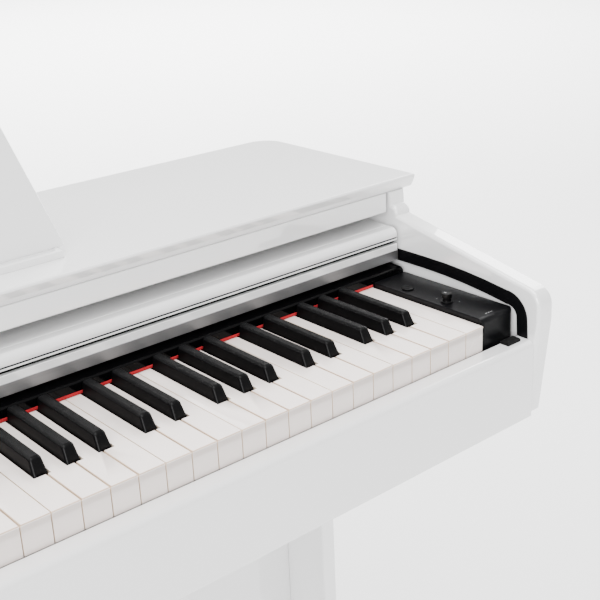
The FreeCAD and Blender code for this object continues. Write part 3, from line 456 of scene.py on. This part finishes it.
def second_finish(piece, slot, test):
    """Give the faces that pass the test another finish."""
    piece.data.materials.append(FINISHES[slot])
    count = len(piece.data.materials) - 1
    for face in piece.data.polygons:
        if test(face.center, face.normal):
            face.material_index = count


def refine(node, edge, reshape=None):
    """A clean copy of a node with small rounded edges, standing in for it."""
    source = frame["nodes"][node]
    piece = bpy.data.objects.new(f"{node}_finished", source.data.copy())
    bpy.context.collection.objects.link(piece)
    hold(piece)
    bpy.ops.object.mode_set(mode="EDIT")
    bpy.ops.mesh.select_all(action="SELECT")
    bpy.ops.mesh.remove_doubles(threshold=WELD)
    bpy.ops.mesh.dissolve_limited(angle_limit=COPLANAR)
    bpy.ops.mesh.select_all(action="SELECT")
    bpy.ops.mesh.dissolve_degenerate(threshold=SLIVER)
    bpy.ops.object.mode_set(mode="OBJECT")
    if reshape:
        reshape(piece)
    if edge:
        round_edges(piece, edge)
    else:
        smooth(piece)
    dress(piece, SLOT_OF[node])
    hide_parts(node)
    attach(piece, BODY_OF[node])
    return piece


EDGES = {
    "front_fascia": 0.5, "left_arm": 0.6, "right_arm": 0.6, "key_slip": 0.5, "cover_panel": 0.5,
    "cover_nose": 0.35, "rest_ledge": 0.4, "music_rest": 0.4, "left_leg": 0.8, "right_leg": 0.8,
    "left_foot": 0.8, "right_foot": 0.8, "rear_board": 0.6, "pedal_box": 0.6, "rear_panel": 0.3,
    "key_bed": 0.4, "left_block": 0.4, "right_block": 0.3, "cover_guides": 0.25, "nameboard": 0.4,
    "cover_trim": 0.2, "cover_bumpers": 0.3, "rest_brackets": 0.2, "rest_strut": 0.3,
    "headphone_box": 0.6, "power_inlet": 0.5, "foot_pads": 0.8, "pedal_adjuster": 0.4,
    "speaker_grilles": 0.2, "cover_rails": 0.4, "cover_glides": 0.3, "key_frame": 0.4,
    "speakers": 0.0, "key_pivot_rod": 0.0, "pedal_rod": 0.0, "sensor_board": 0.0,
    "main_board": 0.0, "key_felts": 0.3,
}
finished = {node: refine(node, width * MM) for node, width in EDGES.items()}
print("boards and mouldings refined:", len(finished))

# %% [markdown]
# The lid's front edge leans: its face tips down a little, so that the lacquer there
# mirrors the keys as a row of stripes. The long edge above the chamfer is picked
# and pushed back by two millimetres before the edges are rounded.

# %% The lid
LID_LEAN = 2 * MM
LID_CHAMFER = 6 * MM


def lean_back(piece):
    """Push the lid's long front edge, the one above its chamfer, back a little."""
    height = low("top_lid").z + LID_CHAMFER
    pick("edges", lambda place, along: abs(place.z - height) < MM / 4
         and abs(along.x) > FACING and place.y < low("top_lid").y + MM)
    bpy.ops.transform.translate(value=(0, LID_LEAN, 0))
    bpy.ops.object.mode_set(mode="OBJECT")


finished["top_lid"] = refine("top_lid", 0.5 * MM, lean_back)
print("lid leans back by", round(LID_LEAN / MM, 1), "mm")

# %% [markdown]
# Four angle brackets hold the case on its legs. Each is folded from sheet steel, with
# one leaf on the leg and one under the case. A bracket starts as the upright leaf, a
# bisect cut marks the thickness of the sheet at its top, and the strip above the cut
# is extruded inwards. A narrow gap keeps the neighbours apart.

# %% The angle brackets
SHEET = 3 * MM
ANGLE_GAP = 0.5 * MM
angle_low, angle_high = low("corner_brackets"), high("corner_brackets")
LEAF = angle_high.z - angle_low.z
for side in (-1, 1):
    inner, outer = side * (angle_high.x - SHEET), side * angle_high.x
    for number in (0, 1):
        front = angle_low.y + number * LEAF + ANGLE_GAP
        angle = add_block(Vector((min(inner, outer), front, angle_low.z)),
                          Vector((max(inner, outer), front + LEAF - 2 * ANGLE_GAP, angle_high.z)))
        cut_across(Z, [angle_high.z - SHEET])
        pick("faces", lambda place, normal: normal.x * side < -FACING and place.z > angle_high.z - SHEET)
        bpy.ops.mesh.extrude_region_move(TRANSFORM_OT_translate={"value": (side * (SHEET - LEAF), 0, 0)})
        settle(angle, f"angle_bracket_{'left' if side < 0 else 'right'}_{number}")
        round_edges(angle, 0.4 * MM)
        dress(angle, "steel")
        if side < 0 and number == 0:
            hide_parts("corner_brackets")
        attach(angle, BODY_OF["corner_brackets"])
print("bracket leaves:", round(LEAF / MM), "mm long")

# %% [markdown]
# The nose of the sliding cover has a thin groove and, under it, a recess for the
# fingers. Their deep faces are painted near black as painted shade, so they read as two
# dark lines with a bright lip between them. The painted shade is only a finish, put on
# the faces that lie behind the front of the nose. The felt under the keys' fronts is grey, unlike the red
# one.

# %% Painted shade in the nose, and the front felt
NOSE_FRONT = low("cover_nose").y
NOSE_LOW = low("cover_nose").z
RECESS_TOP = NOSE_LOW + 22 * MM
LID_ROUND = 8 * MM
# How far behind the nose's front the painted shade starts, in the recess and in the groove.
PAINTED_SHADE_FROM = {"recess": 4.5 * MM, "groove": 1 * MM}
nose = finished["cover_nose"]
hold(nose)
cut_across(Y, [NOSE_FRONT + depth for depth in PAINTED_SHADE_FROM.values()])


def takes_painted_shade(place, normal):
    """Whether a face of the nose lies deep inside its recess or its groove, where its shade is painted."""
    depth = PAINTED_SHADE_FROM["recess" if place.z < RECESS_TOP else "groove"]
    between = NOSE_LOW + MM < place.z < high("cover_nose").z - LID_ROUND
    return between and NOSE_FRONT + depth < place.y < high("cover_nose").y - MM


# Painted shade: the deep faces of the groove and recess take a near-black finish.
second_finish(nose, "groove_painted_shade", takes_painted_shade)
second_finish(finished["key_felts"], "grey_felt", lambda place, normal: place.y < middle("key_felts").y)
# The printed depth is where the painted shade in the recess starts.
print("nose recess lined from", round(PAINTED_SHADE_FROM["recess"] / MM, 1), "mm inwards")

# %% [markdown]
# A white key is a plastic cap on a longer lever. The cap stands a little proud of
# the key's front, which shows as a fine line under its edge. The sides take a warmer
# beige: partly the tone of unpolished plastic, partly painted light for the light that
# bounces into the seams between keys. The rounded edges and a thin band at the top of
# the front are painted a darker brown as a painted shade line. Three bisect cuts mark
# the edge, the lip and its underside, and the front below them is pushed back.

# %% The white keys
# The height of the painted shade band at the top of each key's front.
EDGE_SHADE_LINE = 0.7 * MM
LIP_TALL = 1.7 * MM
LIP_UNDER = 0.3 * MM
LIP_PROUD = 0.6 * MM
FRONT = low("key_c_top").y
KEY_SIDE_FACING = 0.95
SHADED_EDGE_FACING = (0.2, 0.97)
WHITE_NODES = ["white_keys", "key_c_last"] + [f"key_{letter}_top" for letter in "cdefgab"]


def add_lip(piece):
    """Cut the lip's lines and push the front under them back."""
    hold(piece)
    cut_across(Z, [KEY_TOP - down for down in (EDGE_SHADE_LINE, LIP_TALL, LIP_TALL + LIP_UNDER)])
    lip_low = KEY_TOP - LIP_TALL - LIP_UNDER
    pick("faces", lambda place, normal: normal.y < -FACING and place.z < lip_low and place.y < FRONT + MM)
    bpy.ops.transform.translate(value=(0, LIP_PROUD, 0))
    bpy.ops.object.mode_set(mode="OBJECT")


for node in WHITE_NODES:
    key = refine(node, 0)
    add_lip(key)
    smooth(key, 30)
    # Painted light: the warm beige sides stand in for light bounced into the seams, besides the tone of
    # unpolished plastic.
    second_finish(key, "key_side_and_seam_light", lambda place, normal: abs(normal.x) > KEY_SIDE_FACING)
    # Painted shade: the rounded edges and the top band of the front take a darker brown.
    second_finish(key, "key_edge_painted_shade", lambda place, normal: SHADED_EDGE_FACING[0] < normal.z < SHADED_EDGE_FACING[1]
                  or normal.y < -0.5 and place.z > KEY_TOP - EDGE_SHADE_LINE)
print("white key pieces:", len(WHITE_NODES))

# %% [markdown]
# A black key is a moulded cap with a sloping front, sides that lean inwards and soft
# top edges, on a lower tail that runs back under the nameboard. It starts as a low
# block as long as the whole key. A bisect cut marks where the cap ends, the front
# part is extruded up, the new top is narrowed and its front edge pulled back, and
# the long edges are bevelled. The sides are left more matt than the top, which hands
# have polished. One cap is made, and the other 35 are copies.

# %% The black keys
SHARPS = ("c", "d", "f", "g", "a")
SHARP_LOW = low("key_c_sharp_top")
SHARP_HIGH = high("key_c_sharp_top")
TAIL_TOP = KEY_TOP - MM
OCTAVES = 7
CAP_BACK = low("nameboard").y - 2 * MM
TOP_NARROWING = 0.8
FRONT_SLOPE = 7 * MM
CAP_ROUNDING = 2.6 * MM
OCTAVE_WIDE = 7 * PITCH

sharp = add_block(SHARP_LOW, Vector((SHARP_HIGH.x, SHARP_HIGH.y, TAIL_TOP)))
cut_across(Y, [CAP_BACK])
pick("faces", lambda place, normal: normal.z > FACING and place.y < CAP_BACK)
bpy.ops.mesh.extrude_region_move(TRANSFORM_OT_translate={"value": (0, 0, SHARP_HIGH.z - TAIL_TOP)})
bpy.ops.transform.resize(value=(TOP_NARROWING, 1, 1), center_override=middle("key_c_sharp_top"))
bpy.ops.object.mode_set(mode="OBJECT")
pick("edges", lambda place, along: place.z > SHARP_HIGH.z - MM / 10 and place.y < SHARP_LOW.y + MM
     and abs(along.x) > FACING)
bpy.ops.transform.translate(value=(0, FRONT_SLOPE, 0))
bpy.ops.object.mode_set(mode="OBJECT")
pick("edges", lambda place, along: place.z > TAIL_TOP + MM and place.y < CAP_BACK - MM)
bpy.ops.mesh.bevel(offset=CAP_ROUNDING, segments=6, affect="EDGES")
settle(sharp, "sharp_c_top")
round_edges(sharp, 0.25 * MM)
dress(sharp, "key_black")
second_finish(sharp, "key_black_side", lambda place, normal: abs(normal.x) > FACING)

sharp_pieces = []
for letter in SHARPS:
    node = f"key_{letter}_sharp_top"
    top = copy_to(sharp, low(node) - SHARP_LOW, f"sharp_{letter}_octave_{OCTAVES}")
    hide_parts(node)
    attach(top, BODY_OF[node])
    for octave in range(1, OCTAVES):
        shift = Vector((low(node).x - SHARP_LOW.x - OCTAVE_WIDE * octave, 0, 0))
        sharp_pieces.append(copy_to(sharp, shift, f"sharp_{letter}_octave_{OCTAVES - octave}"))
lowest = Vector((low("key_a_sharp_top").x - SHARP_LOW.x - OCTAVE_WIDE * OCTAVES, 0, 0))
sharp_pieces.append(copy_to(sharp, lowest, "sharp_a_octave_0"))
bpy.data.objects.remove(sharp)
for number, key in enumerate(sharp_pieces):
    if number == 0:
        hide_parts("black_keys")
    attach(key, BODY_OF["black_keys"])
print("black keys:", len(sharp_pieces) + len(SHARPS))

# %% [markdown]
# The volume knob is turned from one bar: a thin flange, a waist for the finger and
# a wider, dished head with a pale pointer. It starts as a cylinder. Bisect cuts
# put rings of edges into its side, the rings of the waist are drawn in, and the top
# face is inset and sunk. The flange is a second, lower disc.

# %% The volume knob
KNOB_CENTRE = middle("volume_knob")
KNOB_TOP = high("volume_knob").z - 0.8 * MM
KNOB_BASE = high("right_block").z + 0.3 * MM
HEAD_RADIUS = 5 * MM
HEAD_RIM = 0.8 * MM
FLANGE_RADIUS = 6.2 * MM
FLANGE_TALL = 1.2 * MM
WAIST_SHARE = 0.84
NEARLY = MM / 9

stem_middle = Vector((KNOB_CENTRE.x, KNOB_CENTRE.y, (KNOB_BASE + KNOB_TOP) / 2))
knob = add_disc(stem_middle, HEAD_RADIUS, KNOB_TOP - KNOB_BASE)
WAIST = [KNOB_BASE + share * (KNOB_TOP - KNOB_BASE) for share in (0.15, 0.3, 0.45, 0.6)]
cut_across(Z, WAIST)
pick("edges", lambda place, along: WAIST[0] - NEARLY < place.z < WAIST[2] + NEARLY
     and abs(along.z) < CROSSING)
bpy.ops.transform.resize(value=(WAIST_SHARE, WAIST_SHARE, 1), center_override=KNOB_CENTRE)
bpy.ops.object.mode_set(mode="OBJECT")
pick("faces", lambda place, normal: normal.z > FACING and place.z > WAIST[3])
bpy.ops.mesh.inset(thickness=HEAD_RIM)
bpy.ops.transform.translate(value=(0, 0, -0.3 * MM))
settle(knob, "volume_knob_head")
round_edges(knob, 0.3 * MM, 3, 50)
flange_middle = Vector((KNOB_CENTRE.x, KNOB_CENTRE.y, KNOB_BASE + FLANGE_TALL / 2))
flange = add_disc(flange_middle, FLANGE_RADIUS, FLANGE_TALL)
settle(flange, "volume_knob_flange")
round_edges(flange, 0.4 * MM, 3)
pointer_from = Vector((KNOB_CENTRE.x, KNOB_CENTRE.y, KNOB_TOP))
pointer = add_block(pointer_from + Vector((-0.4, 0.8, -0.4)) * MM,
                    pointer_from + Vector((0.4, 3.8, -0.2)) * MM)
settle(pointer, "volume_knob_pointer")
round_edges(pointer, 0.05 * MM)
for part, slot in ((knob, "button_black"), (flange, "button_black"), (pointer, "grey_print")):
    dress(part, slot)
    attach(part, "volume_knob")
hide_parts("volume_knob")
print("knob head", round(HEAD_RADIUS * 2 / MM, 1), "mm across")

# %% [markdown]
# The end block carries a few printed marks. Here they are plain pale bars and dots
# without any meaning: two dots near the knob and three short bars near the front.
# Each place is given in millimetres from the knob, with its width and depth.
# Each is a thin slip of paint with softened edges, a twentieth of a millimetre thick.

# %% Marks on the end block
BLOCK_TOP = high("right_block").z
PAINT = 0.05 * MM
DOT = (0.8, 0.8)
BAR = (2.4, 0.6)
MARKS = ((0, 13, *DOT), (9, -8, *DOT), (4, -46, *BAR), (7.5, -46, *BAR), (11, -46, *BAR))
for number, (right, back, wide, deep) in enumerate(MARKS):
    corner = Vector((KNOB_CENTRE.x, KNOB_CENTRE.y, BLOCK_TOP))
    corner += Vector((right - wide / 2, back - deep / 2, 0)) * MM
    mark = add_block(corner, corner + Vector((wide * MM, deep * MM, PAINT)))
    settle(mark, f"block_mark_{number}")
    round_edges(mark, 0.02 * MM)
    dress(mark, "grey_print")
    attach(mark, BODY_OF["right_block"])
print("marks:", len(MARKS))

# %% [markdown]
# The power button is round, stands a millimetre proud and is dished so that a finger
# finds it. A few insets of its top face, each pushed a little lower, turn the flat
# disc into a dish.

# %% The power button
BUTTON_CENTRE = middle("power_button")
BUTTON_RADIUS = (high("power_button").x - low("power_button").x) / 2
DISH_STEP = 1.1 * MM
DISH_DROPS = (0.15, 0.3, 0.3, 0.2)
button = add_disc(BUTTON_CENTRE, BUTTON_RADIUS, high("power_button").z - low("power_button").z)
pick("faces", lambda place, normal: normal.z > FACING)
for drop in DISH_DROPS:
    bpy.ops.mesh.inset(thickness=DISH_STEP)
    bpy.ops.transform.translate(value=(0, 0, -drop * MM))
settle(button, "power_button_cap")
round_edges(button, 0.3 * MM, 3, 60)
dress(button, "button_black")
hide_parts("power_button")
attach(button, "power_button")
print("button", round(BUTTON_RADIUS * 2 / MM, 1), "mm across")

# %% [markdown]
# Piano pedals are cast brass tongues: narrow where they leave the box, wide and
# rounded under the foot. Subdivision suits such a soft casting. A long block is
# divided by bisect cuts, the rings of edges near its front are widened and its tip is
# drawn in, and three levels of subdivision melt the steps away.

# %% The pedals
PEDAL_LEVELS = 3
NECK = 9 * MM
PEDAL_CUTS = (0.4, 3, 10, 22, 36, 52, 70)
PEDAL_WIDENING = {0.2: 0.75, 3: 1.15, 10: 1.44, 22: 1.42, 36: 1.2}


def make_pedal(node):
    """One brass pedal that fills its node's box."""
    front, back = low(node), high(node)
    centre = middle(node)
    pedal = add_block(Vector((centre.x - NECK, front.y, front.z)), Vector((centre.x + NECK, back.y, back.z)))
    cut_across(Y, [front.y + cut * MM for cut in PEDAL_CUTS])
    for cut, widen in PEDAL_WIDENING.items():
        bpy.ops.object.mode_set(mode="OBJECT")
        reach = 0.9 * MM if cut < 1 else 0.2 * MM
        pick("edges", lambda place, along: abs(place.y - front.y - cut * MM) < reach
             and abs(along.y) < CROSSING)
        bpy.ops.transform.resize(value=(widen, 1, 1), center_override=centre)
    settle(pedal, f"{node}_casting")
    swell = pedal.modifiers.new("casting", "SUBSURF")
    swell.levels = swell.render_levels = PEDAL_LEVELS
    bevel = pedal.modifiers.new("edges", "BEVEL")
    bevel.width = 1.6 * MM
    bevel.segments = 2
    bpy.ops.object.modifier_move_to_index(modifier=bevel.name, index=0)
    bpy.ops.object.modifier_apply(modifier=bevel.name)
    bpy.ops.object.modifier_apply(modifier=swell.name)
    smooth(pedal, 60)
    dress(pedal, "pedal_brass")
    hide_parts(node)
    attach(pedal, BODY_OF[node])
    return pedal


pedals = [make_pedal(f"{side}_pedal") for side in ("left", "middle", "right")]
print("pedals:", len(pedals), "of", len(pedals[0].data.polygons), "faces")

# %% [markdown]
# The back is closed with pan-head screws, and the stand's steel angles are screwed on
# too. A screw head is a low cylinder with a bevelled rim, a sunken top and a cross
# that two thin bars cut out of it with a boolean modifier. Each head is modelled
# upright and then turned to the surface that it stands on.

# %% Screw heads
SCREW_RADIUS = 3.6 * MM
SCREW_TALL = 1.8 * MM
SCREW_INSET = 14 * MM
COLUMNS = 6
ANGLE_SCREW_SIDE = 22 * MM
ANGLE_SCREW_END = 17 * MM
BACKWARDS = (-math.pi / 2, 0, 0)
DOWNWARDS = (math.pi, 0, 0)


def screw_head(centre, turn, name, node):
    """A pan head with a cross recess, standing on a surface at centre."""
    head = add_disc(Vector((0, 0, SCREW_TALL / 2)), SCREW_RADIUS, SCREW_TALL, sides=28)
    pick("faces", lambda place, normal: normal.z > FACING)
    bpy.ops.mesh.inset(thickness=0.7 * MM)
    bpy.ops.mesh.inset(thickness=1.6 * MM)
    bpy.ops.transform.translate(value=(0, 0, -0.6 * MM))
    settle(head, name)
    round_edges(head, 0.35 * MM, 2, 50)
    for angle in (0, math.pi / 2):
        bar = add_block(Vector((-2.1, -0.35, 0.9)) * MM, Vector((2.1, 0.35, 2.2)) * MM)
        bar.data.transform(Matrix.Rotation(angle, 4, "Z"))
        hold(head)
        slot = head.modifiers.new("cross", "BOOLEAN")
        slot.operation = "DIFFERENCE"
        slot.object = bar
        bpy.ops.object.modifier_apply(modifier=slot.name)
        bpy.data.objects.remove(bar)
    head.data.transform(Matrix.Translation(centre) @ Euler(turn).to_matrix().to_4x4())
    dress(head, "steel")
    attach(head, BODY_OF[node])
    return head


panel_low, panel_high = low("rear_panel"), high("rear_panel")
screw_step = (panel_high.x - panel_low.x - 2 * SCREW_INSET) / (COLUMNS - 1)
screws = []
for row, height in enumerate((panel_low.z + SCREW_INSET, panel_high.z - SCREW_INSET)):
    for column in range(COLUMNS):
        across = panel_low.x + SCREW_INSET + column * screw_step
        screws.append(screw_head(Vector((across, panel_high.y, height)), BACKWARDS,
                                 f"back_screw_{row}_{column}", "rear_panel"))
angle_under = angle_high.z - SHEET
for side, across in enumerate((angle_low.x + ANGLE_SCREW_SIDE, angle_high.x - ANGLE_SCREW_SIDE)):
    for number, back in enumerate((angle_low.y + ANGLE_SCREW_END, angle_high.y - ANGLE_SCREW_END)):
        screws.append(screw_head(Vector((across, back, angle_under)), DOWNWARDS,
                                 f"angle_screw_{side}_{number}", "corner_brackets"))
print("screws:", len(screws))

# %% [markdown]
# Each headphone socket has a thin plated nut round its hole. It could be a disc with
# its middle pushed through, but a torus already has the rounded rim. The torus is
# centred on the face of the box, and its back half is pressed much thinner.

# %% Socket nuts
box_low, box_high = low("headphone_box"), high("headphone_box")
SOCKET_HEIGHT = (box_low.z + box_high.z) / 2
SOCKET_SPREAD = 17 * MM
NUT_RADIUS = 4.3 * MM
NUT_THICK = 0.9 * MM
for number, side in enumerate((-1, 1)):
    across = (box_low.x + box_high.x) / 2 + side * SOCKET_SPREAD
    start_fresh()
    bpy.ops.mesh.primitive_torus_add(location=(across, box_low.y, SOCKET_HEIGHT),
                                     rotation=(math.pi / 2, 0, 0), major_radius=NUT_RADIUS,
                                     minor_radius=NUT_THICK, major_segments=48, minor_segments=12)
    nut = bpy.context.object
    pick("faces", lambda place, normal: normal.y > 0.3)
    bpy.ops.transform.resize(value=(1, 0.3, 1), center_override=(across, box_low.y, SOCKET_HEIGHT))
    settle(nut, f"socket_nut_{number}")
    smooth(nut, 60)
    dress(nut, "steel")
    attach(nut, BODY_OF["headphone_box"])
print("socket nuts", round(2 * SOCKET_SPREAD / MM), "mm apart")

# %% [markdown]
# The camera stands at the player's left, above the keys, and looks along them to the
# right end with a long lens. Heading, dip and roll are in degrees, and the lens in
# millimetres. A small shift slides the view without turning the camera.

# %% Camera
CAMERA_PLACE = (-0.1215, -0.8136, 1.1424)
CAMERA_HEADING = 40.70
CAMERA_DIP = 21.48
CAMERA_ROLL = -2.25
camera_data = bpy.data.cameras.new("camera")
camera_data.lens = 67.08
camera_data.sensor_width = 36.0
camera_data.shift_x = -0.0330
camera_data.shift_y = -0.0025
camera_data.clip_start = 0.01
camera = bpy.data.objects.new("camera", camera_data)
bpy.context.collection.objects.link(camera)
turn = Euler((math.radians(90 - CAMERA_DIP), 0, math.radians(-CAMERA_HEADING))).to_matrix()
turn = turn @ Matrix.Rotation(math.radians(CAMERA_ROLL), 3, "Z")
camera.matrix_world = Matrix.Translation(CAMERA_PLACE) @ turn.to_4x4()
bpy.context.scene.camera = camera
print("camera heading", CAMERA_HEADING, "and dip", CAMERA_DIP, "degrees")

# %% [markdown]
# White lacquer needs large, soft lights, since it mirrors whatever is near it. A very
# wide light shines down from the front left, as a lit studio ceiling does, and reaches
# the floor as well. Two square panels help it: one at the front left and a rim light
# on the right. A larger one hangs over the plain, pale floor behind the piano, so that
# its outline stands out, and is kept out of the lacquer's reflections.

# %% Lights, floor and surround
def soft_panel(name, place, aim, size, power):
    """A square area light at a place, turned towards a point."""
    data = bpy.data.lights.new(name, "AREA")
    data.size = size
    data.energy = power
    panel = bpy.data.objects.new(name, data)
    panel.location = place
    panel.rotation_euler = (Vector(aim) - Vector(place)).to_track_quat("-Z", "Y").to_euler()
    bpy.context.collection.objects.link(panel)
    return panel


AIM = (0.35, 0.0, 0.75)
BACKDROP = (4.5, 6.5, 4.5)
CEILING_FROM = (-0.25, -0.12, 1.0)
CEILING_SPREAD = 60
SURROUND = 1.05
FLOOR_TONE = 0.62
soft_panel("front left panel", (-2.4, -2.0, 1.7), AIM, size=1.6, power=100)
soft_panel("right rim panel", (2.6, 0.4, 1.8), AIM, size=1.4, power=50)
backdrop = soft_panel("backdrop panel", BACKDROP, (BACKDROP[0], BACKDROP[1], 0), size=7.0, power=3600)
backdrop.visible_glossy = False

ceiling_data = bpy.data.lights.new("ceiling", "SUN")
ceiling_data.energy = 5.0
ceiling_data.angle = math.radians(CEILING_SPREAD)
ceiling = bpy.data.objects.new("ceiling", ceiling_data)
ceiling.rotation_euler = Vector(CEILING_FROM).to_track_quat("Z", "Y").to_euler()
bpy.context.collection.objects.link(ceiling)

world = bpy.data.worlds.new("studio")
bpy.context.scene.world = world
world.use_nodes = True
world.node_tree.nodes["Background"].inputs["Color"].default_value = (1.0, 1.0, 1.0, 1.0)
world.node_tree.nodes["Background"].inputs["Strength"].default_value = SURROUND

start_fresh()
bpy.ops.mesh.primitive_plane_add(size=90, location=(0, 0, 0))
floor = bpy.context.object
floor.name = "floor"
floor_finish = bpy.data.materials.new("pale floor")
floor_finish.use_nodes = True
floor_shader = floor_finish.node_tree.nodes["Principled BSDF"]
floor_shader.inputs["Base Color"].default_value = (FLOOR_TONE, FLOOR_TONE, FLOOR_TONE, 1.0)
floor_shader.inputs["Roughness"].default_value = 0.6
floor.data.materials.append(floor_finish)
